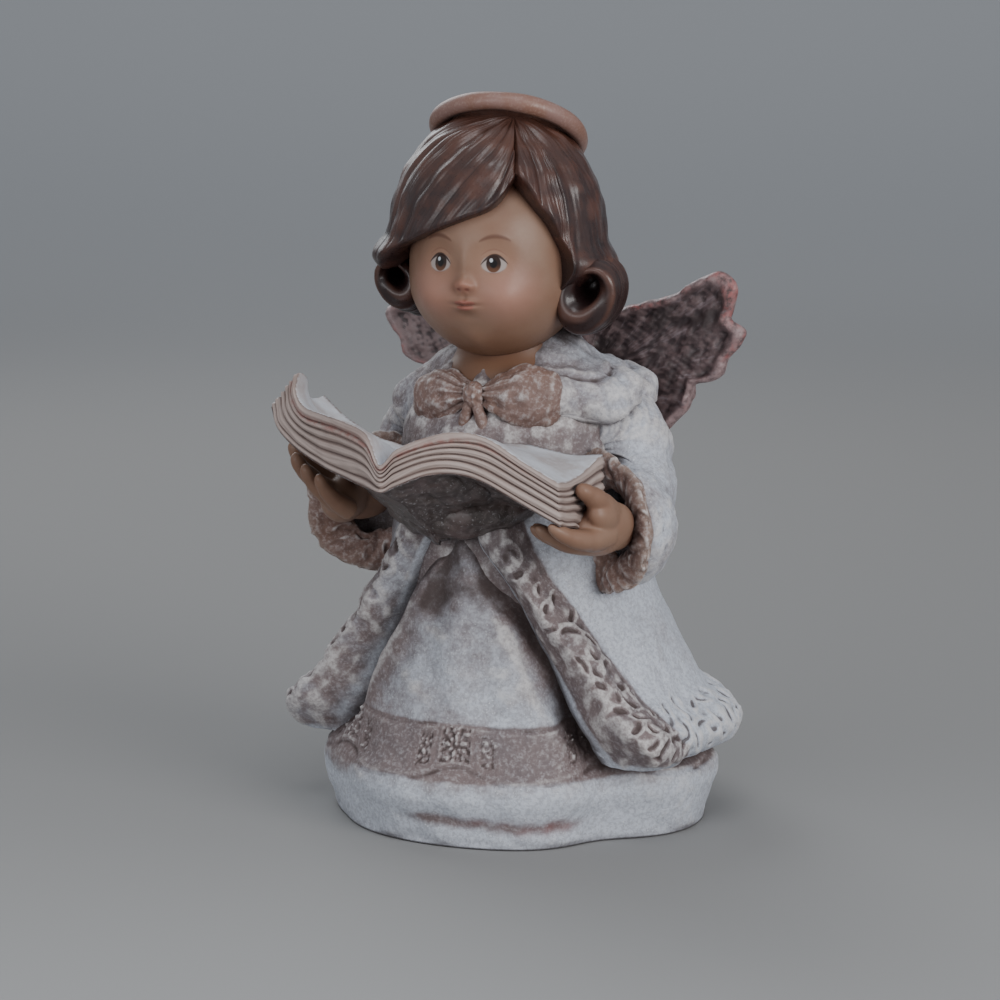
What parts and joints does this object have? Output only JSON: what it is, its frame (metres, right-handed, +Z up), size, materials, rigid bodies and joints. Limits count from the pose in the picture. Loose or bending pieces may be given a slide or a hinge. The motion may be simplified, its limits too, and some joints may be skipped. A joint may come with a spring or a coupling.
{
  "type": "angel figurine",
  "caption": "Ceramic child angel with halo and small wings that stands in a long open coat and reads from a big open book; a shelf ornament.",
  "frame": {"origin": "middle of the underside, on the surface that the figure stands on", "axes": "+Z up, -Y the way the figure faces, +X to the figure's left"},
  "size_m": [0.0921, 0.1001, 0.1499],
  "materials": {
    "clay": "matte, pale grey with brown wash in the hollows",
    "hair": "gloss",
    "skin": "satin",
    "wing": "satin",
    "pages": "satin"
  },
  "bodies": {
    "root": {"angel": "clay"}
  },
  "joints": []
}
